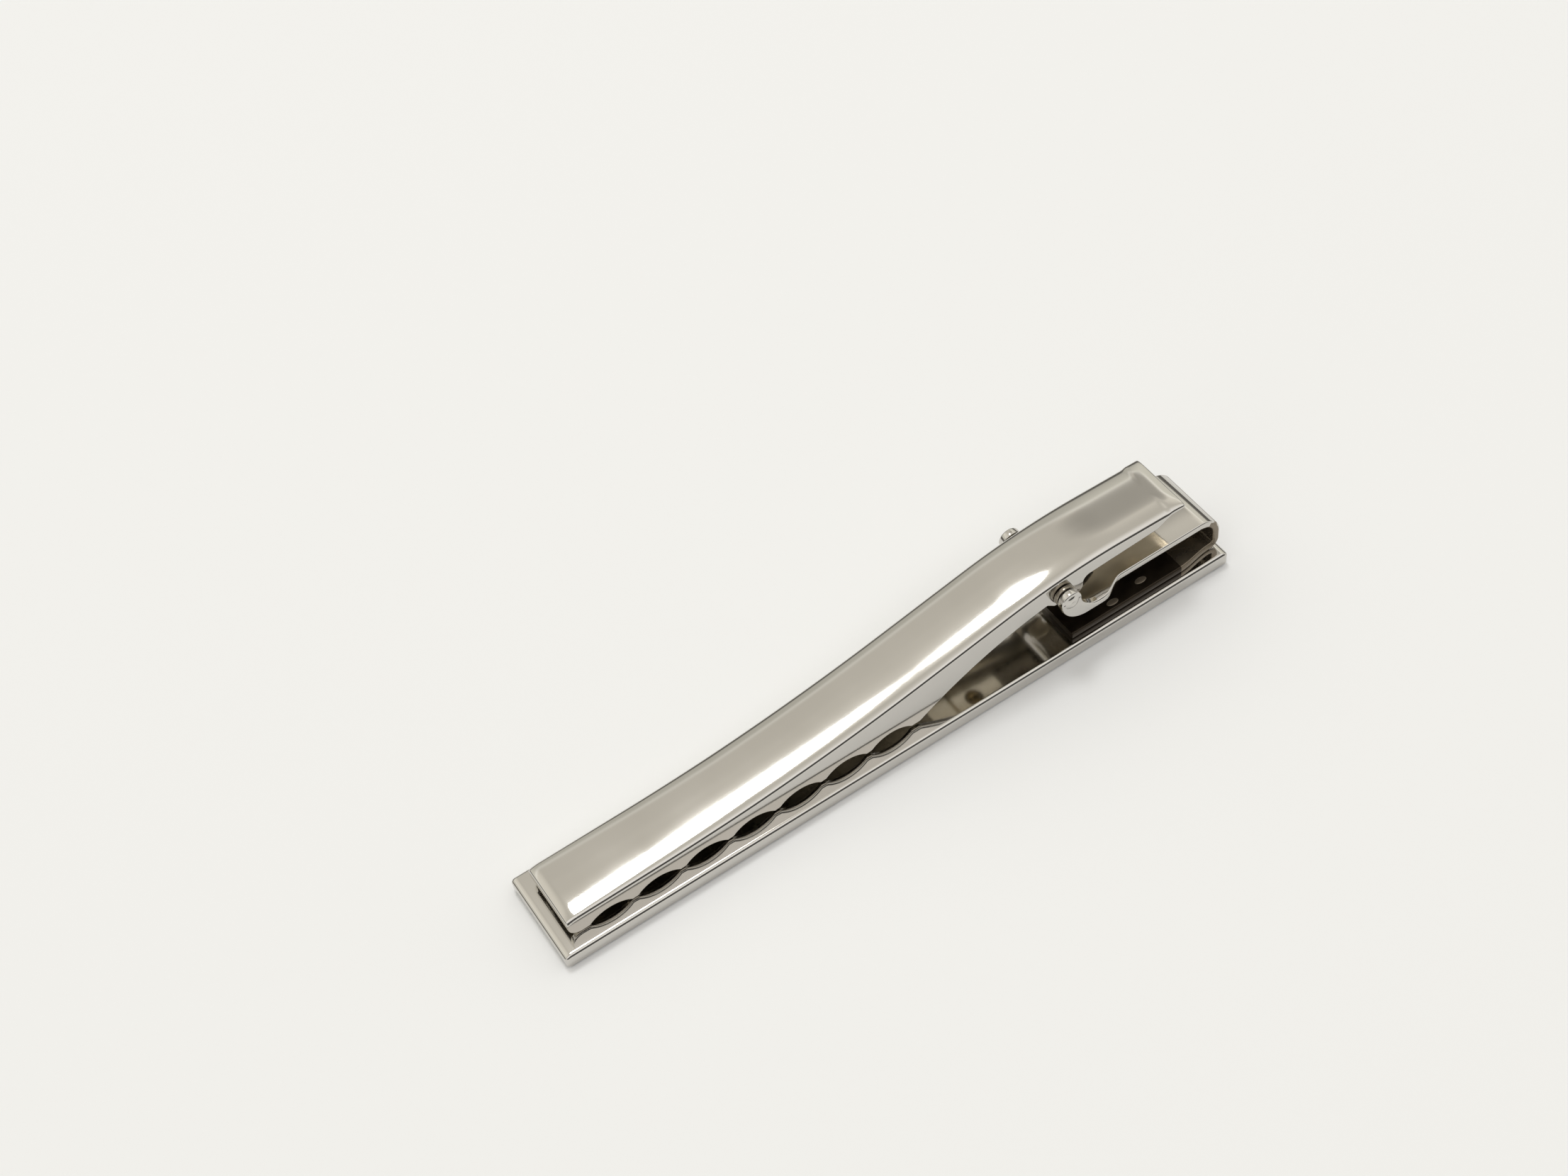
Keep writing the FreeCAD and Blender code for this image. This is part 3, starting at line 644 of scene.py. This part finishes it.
def channel_ring(x, low):
    """One cross-section of the lever: crowned top, bent corners, thin sides open below."""
    from_end = min(x - NOSE_X, TAIL_X - x, END_ROUND)
    inset = END_ROUND - math.sqrt(END_ROUND ** 2 - (END_ROUND - from_end) ** 2)
    top = lever_top(x) - inset
    low = low + inset
    half = LEVER_HALF - inset
    gauge = LEVER_GAUGE - 2 * inset
    cut = min(CUT_ROUND, gauge * CUT_GAUGE_SHARE)
    room = max(top - low - SUPPORT, LEAST_ROOM)
    arcs = crown_arcs(x)
    share = min(1, room / (crown_curve(arcs, inset, 1)[-1][1] + cut))
    cut *= share
    crown = crown_curve(arcs, inset, share)
    reach, drop = crown[-1]
    outer = [(-half + cut + cut * math.cos(a), low + cut + cut * math.sin(a))
             for a in (math.radians(270 - 90 * i / CUT_STEPS) for i in range(CUT_STEPS + 1))]
    outer += [(-half, low + cut + SUPPORT / 2), (-half, top - drop - SUPPORT / 2)]
    outer += [(-half + reach - out, top - down) for out, down in reversed(crown)]
    outer += [(-half + reach + SUPPORT, top), ((-half + reach) / 2, top)]
    wall = half - gauge
    under = max(top - NOSE_LIP_DEPTH, low) if x < NOSE_X + LEVER_GAUGE else top - gauge
    height = max(under - low, 0)
    bend = min(INNER_ROUND + inset, height / 3)
    lip = min(CUT_INNER_ROUND, gauge * LIP_GAUGE_SHARE, height / 3)
    inner = [(-wall + bend - bend * math.sin(a), under - bend + bend * math.cos(a))
             for a in (math.radians(90 * i / INNER_STEPS) for i in range(INNER_STEPS + 1))]
    inner += [(-wall - lip + lip * math.cos(a), low + lip + lip * math.sin(a))
              for a in (math.radians(-90 * i / INNER_STEPS) for i in range(INNER_STEPS + 1))]
    near = outer + [(0, top)]
    far = [(-y, z) for y, z in reversed(outer)]
    ring = near + far + [(-y, z) for y, z in reversed(inner)] + inner
    return [(x, y, z) for y, z in ring]


def build_lever():
    """The channel-shaped lever, bright outside, half polished within and darkened inside the jaw as painted
    shade.
    """
    edge = lever_lower_edge()
    rings = [channel_ring(x, low) for x, low in edge]
    lever = skin("lever_channel", rings, polished_plate)
    lever.data.materials.append(inner_plate)
    lever.data.materials.append(painted_jaw_shade)
    depth = LEVER_GAUGE * INSIDE_GAUGE_SHARE
    shade_start, shade_end = (NOSE_X + run for run in JAW_SHADE_RUN)
    # Inside faces along the jaw take the painted shade, the rest of the inside takes the inner plate
    for face in lever.data.polygons:
        middle = face.center / MM
        inside = abs(middle.y) < LEVER_HALF - depth and middle.z < lever_top(middle.x) - depth
        if inside and NOSE_X + END_ROUND < middle.x < TAIL_X - END_ROUND:
            face.material_index = 2 if shade_start < middle.x < shade_end else 1
    return lever


# The bracket

STRIP_TOP = PIN_Z - STRIP_DROP
STRIP_UNDER = STRIP_TOP - STRIP_GAUGE
EAR_ROOT_FRONT = PIN_X - EAR_RADIUS + PIN_Z - STRIP_UNDER
EAR_ROOT_BACK = PIN_X + EAR_RADIUS + PIN_Z - STRIP_TOP
FOOT_X = WALL_X - FOOT_LENGTH
FOOT_NARROW_X = WALL_X - HEEL_ROUND


def strip_path():
    """The strip's middle line: along the bar, up the bar's end and back under the tail."""
    half = STRIP_GAUGE / 2
    low = BAR_TOP + half
    high = STRIP_TOP - half
    wall = WALL_X - half
    heel = HEEL_ROUND - half
    bend = BEND_ROUND - half
    path = joined(
        line((FOOT_X, low), (FOOT_SHADE_X, low)),
        line((FOOT_SHADE_X, low), (wall - heel, low)),
        arc((wall - heel, low + heel), heel, -90, 0),
        arc((wall - bend, high - bend), bend, 0, 90),
        line((wall - bend, high), (EAR_ROOT_FRONT, high)),
    )
    return [(x, 0, z) for x, z in path]


def ear_outline():
    """One ear from the side: a curved finger that ends round about the pin."""
    low = STRIP_UNDER + EAR_SINK
    high = STRIP_TOP - EAR_SINK
    root_x = EAR_ROOT_BACK + FLARE_LAND
    return joined(
        line((EAR_ROOT_FRONT, low), (root_x, low)),
        line((root_x, high), (EAR_ROOT_BACK, high)),
        arc((EAR_ROOT_BACK, PIN_Z), PIN_Z - high, 270, 180),
        arc((PIN_X, PIN_Z), EAR_RADIUS, 0, 180),
        arc((EAR_ROOT_FRONT, PIN_Z), PIN_Z - low, 180, 270),
    )[:-1]


def build_ear(name, inner, outer):
    outline = ear_outline()
    side = math.copysign(1, outer - inner)
    steps = rounded_steps(STRIP_EDGE_ROUND)
    levels = [(inset, inner + side * depth) for inset, depth in steps]
    levels += [(inset, outer - side * depth) for inset, depth in reversed(steps)]
    rings = [[(x, y, z) for x, z in inset_outline(outline, inset)] for inset, y in levels]
    return skin(name, rings, polished_plate)


def build_weld(name, x, y):
    """A low oval weld spot on the lower leg."""
    floor_z = BAR_TOP + STRIP_GAUGE
    rings = []
    turns = [math.radians(a) for a in range(0, 360, WELD_TURN_STEP)]
    for i in range(WELD_STEPS + 1):
        rise = math.radians(90 * i / WELD_STEPS)
        radius = max(WELD_RADIUS * math.cos(rise), WELD_POLE_RADIUS)
        z = floor_z - EAR_SINK + WELD_RISE * math.sin(rise)
        rings.append([(x + radius * WELD_STRETCH * math.cos(a), y + radius * math.sin(a), z) for a in turns])
    return skin(name, rings, weld_bead)


def build_bracket(strip_tree):
    """The bent strip, its two ears and the weld spots that hold it to the bar."""
    flare_wide = EAR_ROOT_BACK + FLARE_LAND
    strip = grown("bracket_strip", strip_tree, {
        "Width": STRIP_WIDTH * MM,
        "Gauge": STRIP_GAUGE * MM,
        "Edge Round": STRIP_EDGE_ROUND * MM,
        "Split Z": (STRIP_UNDER - EAR_SINK) * MM,
        "Upper Narrow X": (flare_wide + FLARE_RUN) * MM,
        "Upper Wide X": flare_wide * MM,
        "Upper Step": (EAR_OUTER - EAR_SINK - STRIP_WIDTH / 2) * MM,
        "Lower Narrow X": FOOT_NARROW_X * MM,
        "Lower Wide X": (FOOT_NARROW_X - FOOT_FLARE_RUN) * MM,
        "Lower Step": FOOT_STEP * MM,
    }, polished_plate, strip_path())
    strip.data.materials.append(painted_bend_shade)
    strip.data.materials.append(painted_foot_shade)
    foot_top = BAR_TOP + STRIP_GAUGE
    # Faces inside the bend take painted shade, darker still on the foot under the upper leg
    for face in strip.data.polygons:
        middle = face.center / MM
        lowest = BAR_TOP if middle.x < FOOT_NARROW_X else BAR_TOP + STRIP_GAUGE / 2
        inside = lowest < middle.z < STRIP_UNDER + EAR_SINK and middle.x < WALL_X - STRIP_GAUGE / 2
        if inside:
            face.material_index = 2 if middle.x < FOOT_SHADE_X and middle.z < foot_top + EAR_SINK else 1
    ears = [build_ear("ear", side * (EAR_OUTER - STRIP_GAUGE), side * EAR_OUTER) for side in (-1, 1)]
    welds = [build_weld("weld", x, y) for x, y in WELD_PLACES]
    return merge("bracket_strip_and_ears", [strip, *ears, *welds])


# The pin, its collars, the leaf spring and its rivet

def turned(name, profile, turn, material):
    """A turned piece: (along, radius) pairs spun about the Y axis, then placed by a matrix in millimetres."""
    rings = []
    for along, radius in profile:
        ring = [Vector((radius * math.cos(a), along, radius * math.sin(a)))
                for a in (math.radians(d) for d in range(0, 360, TURN_STEP))]
        rings.append([tuple(turn @ point) for point in ring])
    return skin(name, rings, material)


def dome(base, rise, radius, side):
    """(along, radius) pairs of a low dome that ends on the axis."""
    curve = (radius ** 2 + rise ** 2) / (2 * rise)
    spread = math.asin(radius / curve)
    tilts = [spread * i / DOME_STEPS for i in range(DOME_STEPS, -1, -1)]
    return [(base + side * (rise - curve + curve * math.cos(tilt)), max(curve * math.sin(tilt), POLE_RADIUS))
            for tilt in tilts]


def build_pin():
    """The riveted pin, with a dimple in each of its domed heads."""
    whole = dome(EAR_OUTER, PIN_HEAD_RISE, PIN_HEAD_RADIUS, 1)
    head = [point for point in whole if point[1] > PIN_DIMPLE_RADIUS]
    rim, radius = head[-1]
    dimple = [(rim - PIN_DIMPLE_DEPTH * math.sin(math.pi / 2 * i / DIMPLE_STEPS),
               max(radius * (1 - i / DIMPLE_STEPS), POLE_RADIUS)) for i in range(1, DIMPLE_STEPS + 1)]
    far = [(EAR_OUTER, PIN_RADIUS), (EAR_OUTER + PIN_HEAD_LIFT, PIN_HEAD_RADIUS)] + head[1:] + dimple
    profile = [(-along, radius) for along, radius in reversed(far)] + far
    return turned("hinge_pin_riveted", profile, Matrix.Translation((PIN_X, 0, PIN_Z)), polished_plate)


def build_collars():
    """The two rings on the pin, between the lever's sides and the ears."""
    inner = WASHER_LOW.y
    outer = WASHER_HIGH.y
    washer_radius = (WASHER_HIGH.z - WASHER_LOW.z) / 2
    return grown("pin_collars", collar_pair_tree(), {
        "Ring Radius": (washer_radius + PIN_RADIUS) / 2 * MM,
        "Ring Width": (washer_radius - PIN_RADIUS) * MM,
        "Thickness": (outer - inner) * MM,
        "Edge Round": COLLAR_EDGE_ROUND * MM,
        "Spread": (outer + inner) * MM,
        "Place": (PIN_X * MM, 0, PIN_Z * MM),
    }, painted_collar_shade)


LEAF_ROOT = Vector((HUMP_START_X + LEVER_GAUGE * math.sin(CLIMB_TILT), 0,
                    lever_top(HUMP_START_X) - LEVER_GAUGE * math.cos(CLIMB_TILT)))
CLIMB = Vector((math.cos(CLIMB_TILT), 0, math.sin(CLIMB_TILT)))
CLIMB_NORMAL = Vector((-math.sin(CLIMB_TILT), 0, math.cos(CLIMB_TILT)))


def leaf_path():
    """The leaf's middle line: flat under the lever, over the pin and down to the strip."""
    half = LEAF_GAUGE / 2
    crest_x = PIN_X + LEAF_OVER_PIN
    crest_radius = (crest_x - LEAF_ROOT.x) / (math.sin(CLIMB_TILT) + math.sin(LEAF_CREST_TILT))
    crest_z = LEAF_ROOT.z + crest_radius * (math.cos(LEAF_CREST_TILT) - math.cos(CLIMB_TILT))
    fall_radius = (crest_z - LEAF_GAUGE * math.cos(LEAF_TIP_TILT) - LEAF_LOW.z) / (
        math.cos(LEAF_CREST_TILT) - math.cos(LEAF_TIP_TILT))
    root = LEAF_ROOT - CLIMB_NORMAL * half
    start = root - CLIMB * LEAF_FIXED_LENGTH
    crest_centre = LEAF_ROOT - CLIMB_NORMAL * crest_radius
    crest = (crest_centre.x, crest_centre.z)
    fall = (crest_x - fall_radius * math.sin(LEAF_CREST_TILT),
            crest_z - fall_radius * math.cos(LEAF_CREST_TILT))
    path = joined(
        line((start.x, start.z), (root.x, root.z)),
        arc(crest, crest_radius - half, 90 + math.degrees(CLIMB_TILT), 90 - math.degrees(LEAF_CREST_TILT)),
        arc(fall, fall_radius - half, 90 - math.degrees(LEAF_CREST_TILT), 90 - math.degrees(LEAF_TIP_TILT)),
    )
    return [(x, 0, z) for x, z in path]


# The leaf keeps one width, so its flares lie far past its ends, in metres
NO_FLARE = (1.0, 2.0)


def build_leaf(strip_tree):
    """The leaf spring, darkened as painted shade but for its fixed end, which has the lever's inner plate."""
    leaf = grown("leaf_spring_strip", strip_tree, {
        "Width": LEAF_WIDTH * MM,
        "Gauge": LEAF_GAUGE * MM,
        "Edge Round": LEAF_EDGE_ROUND * MM,
        "Upper Narrow X": NO_FLARE[0],
        "Upper Wide X": NO_FLARE[1],
        "Lower Narrow X": NO_FLARE[0],
        "Lower Wide X": NO_FLARE[1],
    }, painted_leaf_shade, leaf_path())
    leaf.data.materials.append(inner_plate)
    for face in leaf.data.polygons:
        face.material_index = 1 if face.center.x / MM < LEAF_LOW.x + LEAF_BRIGHT_RUN else 0
    return leaf


def build_rivet():
    """The rivet's low head under the leaf, square to the climb."""
    foot = LEAF_ROOT - CLIMB * RIVET_BACK - CLIMB_NORMAL * LEAF_GAUGE
    tilt = Matrix.Rotation(-CLIMB_TILT, 4, "Y")
    turn = Matrix.Translation(foot) @ tilt @ Matrix.Rotation(-math.pi / 2, 4, "X")
    shank = RIVET_HEAD_RADIUS / 2
    profile = [(-LEAF_GAUGE * RIVET_SHANK_SHARE, shank), (0, shank), (0, RIVET_HEAD_RADIUS)]
    profile += dome(0, RIVET_HEAD_RISE, RIVET_HEAD_RADIUS, 1)[1:]
    return turned("spring_rivet_head", profile, turn, rivet_metal)


# Pieces on their bodies
strip_tree = bent_strip_tree()
bar = build_bar()
lever = build_lever()
bracket = build_bracket(strip_tree)
pin = build_pin()
collars = build_collars()
leaf = build_leaf(strip_tree)
rivet = build_rivet()

for piece, body, slot, nodes in (
    (bar, "bar", "polished_plate", ["front_bar"]),
    (bracket, "bar", "polished_plate", ["spring_bracket"]),
    (pin, "bar", "polished_plate", ["hinge_pin"]),
    (collars, "bar", "polished_plate", ["pin_washer_near", "pin_washer_far"]),
    (lever, "lever", "polished_plate", ["clip_lever"]),
    (rivet, "lever", "rivet_metal", ["spring_rivet"]),
):
    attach(piece, body)
    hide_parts(*nodes)
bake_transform(leaf)
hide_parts("leaf_spring")


# The stage: pale floor, soft room light and one overhead lamp

FLOOR_HALF = 1500.0
FLOOR_DROP = 0.01
FLOOR_COLOUR = "#F8F9FA"
FLOOR_ROUGHNESS = 0.9
FLOOR_SHINE = 0.2
CAMERA_PLACE = Vector((-44.94, -82.91, 135.16))
CAMERA_AIM = Vector((1.0, 14.55, 0.0))
CAMERA_ROLL = math.radians(-9.98)
CAMERA_LENS = 52.5
CAMERA_SENSOR = 36.0
CAMERA_CLIP_START = 0.005

# The oval lamp over the object, in metres, and the brightness of its face
LAMP_PLACE = Vector((0.07, 0.31, 1.0))
LAMP_AIM = Vector((0, 0, 0))
LAMP_SIZE_X = 0.245
LAMP_SIZE_Y = 0.285
LAMP_RADIANCE = 13.0


def build_floor():
    """Matt painted board: an even pale ground with next to no gloss."""
    material, _, shader, _ = new_material("matt_painted_board")
    shader.inputs["Base Color"].default_value = paint(FLOOR_COLOUR)
    shader.inputs["Roughness"].default_value = FLOOR_ROUGHNESS
    shader.inputs["Specular IOR Level"].default_value = FLOOR_SHINE
    mesh = bpy.data.meshes.new("floor")
    corners = [(x * FLOOR_HALF * MM, y * FLOOR_HALF * MM, -FLOOR_DROP * MM)
               for x, y in ((-1, -1), (1, -1), (1, 1), (-1, 1))]
    mesh.from_pydata(corners, [], [(0, 1, 2, 3)])
    mesh.materials.append(material)
    floor = link(mesh, "floor")


# The room's walls as (height, colour), and where the near one passes into the far one
NEAR_WALL = ((0.0, "#D6D4D0"), (0.6, "#DCDAD6"), (0.76, "#FFFDFA"), (0.93, "#FFFDFA"), (1.0, "#D6D3CB"))
FAR_WALL = ((0.0, "#6E6C68"), (0.26, "#6E6C68"), (0.36, "#CFCDC3"), (0.6, "#D2D0C6"), (0.65, "#F2F0E8"),
            (0.7, "#DDD9CF"), (1.0, "#DDD9CF"))
NEAR_STRENGTH = 1.15
WALL_BLEND = (-0.25, 0.1)

# A dark place low on the near side
NEAR_DARK_REACH = (-0.45, -0.7)
NEAR_DARK_HEIGHT = (0.72, 0.62)
NEAR_DARK_SHARE = 0.12

# Softer darker and lighter places as (direction, inner and outer angle, share of light)
ROOM_PLACES = (
    ((0.063, 0.295, 0.953), 8, 17, 1.12),
    ((0.45, 0.51, 0.733), 0.5, 10, 0.53),
    ((0.68, 0.45, 0.58), 8, 26, 1.4),
    ((-0.55, 0.53, 0.65), 10, 30, 1.35),
)


def build_room():
    """Light from all round: a pale far wall, a brighter near side, and soft darker and lighter places."""
    world = bpy.data.worlds.new("room")
    bpy.context.scene.world = world
    world.use_nodes = True
    tree = world.node_tree
    tree.nodes.clear()
    way = add(tree, "ShaderNodeTexCoord").outputs["Generated"]
    part = add(tree, "ShaderNodeSeparateXYZ", {"Vector": way})
    walls = []
    for stops in (NEAR_WALL, FAR_WALL):
        ramp = add(tree, "ShaderNodeValToRGB", {"Fac": part.outputs["Z"]})
        marks = ramp.color_ramp.elements
        for mark, (position, code) in zip((marks[0], marks[1]), (stops[0], stops[-1])):
            mark.position = position
            mark.color = paint(code)
        for position, code in stops[1:-1]:
            marks.new(position).color = paint(code)
        walls.append(ramp.outputs["Color"])
    back = add(tree, "ShaderNodeMapRange", {"Value": part.outputs["Y"], "From Min": WALL_BLEND[0],
                                            "From Max": WALL_BLEND[1]},
               interpolation_type="SMOOTHSTEP").outputs["Result"]
    wall = add(tree, "ShaderNodeMix", {"Factor": back, "A": walls[0], "B": walls[1]}, data_type="RGBA")
    strength = add(tree, "ShaderNodeMapRange", {"Value": back, "To Min": NEAR_STRENGTH, "To Max": 1.0})
    sides = [add(tree, "ShaderNodeMapRange", {"Value": part.outputs[axis], "From Min": limits[0],
                                              "From Max": limits[1]}, interpolation_type="SMOOTHSTEP")
             for axis, limits in (("Y", NEAR_DARK_REACH), ("Z", NEAR_DARK_HEIGHT))]
    near_dark = add(tree, "ShaderNodeMath", {0: sides[0].outputs["Result"], 1: sides[1].outputs["Result"]},
                    operation="MULTIPLY")
    shares = [add(tree, "ShaderNodeMapRange", {"Value": near_dark.outputs[0], "To Min": 1.0,
                                               "To Max": NEAR_DARK_SHARE})]
    for centre, inner, outer, share in ROOM_PLACES:
        toward = add(tree, "ShaderNodeVectorMath", {0: way, 1: centre}, operation="DOT_PRODUCT")
        shares.append(add(tree, "ShaderNodeMapRange", {"Value": toward.outputs["Value"],
                                                       "From Min": math.cos(math.radians(outer)),
                                                       "From Max": math.cos(math.radians(inner)),
                                                       "To Min": 1.0, "To Max": share},
                          interpolation_type="SMOOTHSTEP"))
    power = strength.outputs["Result"]
    for share in shares:
        power = add(tree, "ShaderNodeMath", {0: power, 1: share.outputs["Result"]},
                    operation="MULTIPLY").outputs[0]
    glow = add(tree, "ShaderNodeBackground", {"Color": wall.outputs["Result"], "Strength": power})
    add(tree, "ShaderNodeOutputWorld", {"Surface": glow.outputs["Background"]})


def build_lamp():
    data = bpy.data.lights.new("lamp", "AREA")
    data.shape = "ELLIPSE"
    data.size = LAMP_SIZE_X
    data.size_y = LAMP_SIZE_Y
    data.energy = LAMP_RADIANCE * math.pi * (math.pi / 4 * LAMP_SIZE_X * LAMP_SIZE_Y)
    lamp = bpy.data.objects.new("lamp", data)
    bpy.context.scene.collection.objects.link(lamp)
    lamp.location = LAMP_PLACE
    lamp.rotation_mode = "QUATERNION"
    lamp.rotation_quaternion = (LAMP_AIM - LAMP_PLACE).to_track_quat("-Z", "Y")


def build_camera():
    data = bpy.data.cameras.new("camera")
    data.lens = CAMERA_LENS
    data.sensor_width = CAMERA_SENSOR
    data.clip_start = CAMERA_CLIP_START
    camera = bpy.data.objects.new("camera", data)
    bpy.context.scene.collection.objects.link(camera)
    look = (CAMERA_AIM - CAMERA_PLACE).to_track_quat("-Z", "Y").to_matrix().to_4x4()
    camera.matrix_world = Matrix.Translation(CAMERA_PLACE * MM) @ look @ Matrix.Rotation(CAMERA_ROLL, 4, "Z")
    bpy.context.scene.camera = camera


build_floor()
build_room()
build_lamp()
build_camera()
bpy.context.scene.view_settings.view_transform = "Standard"
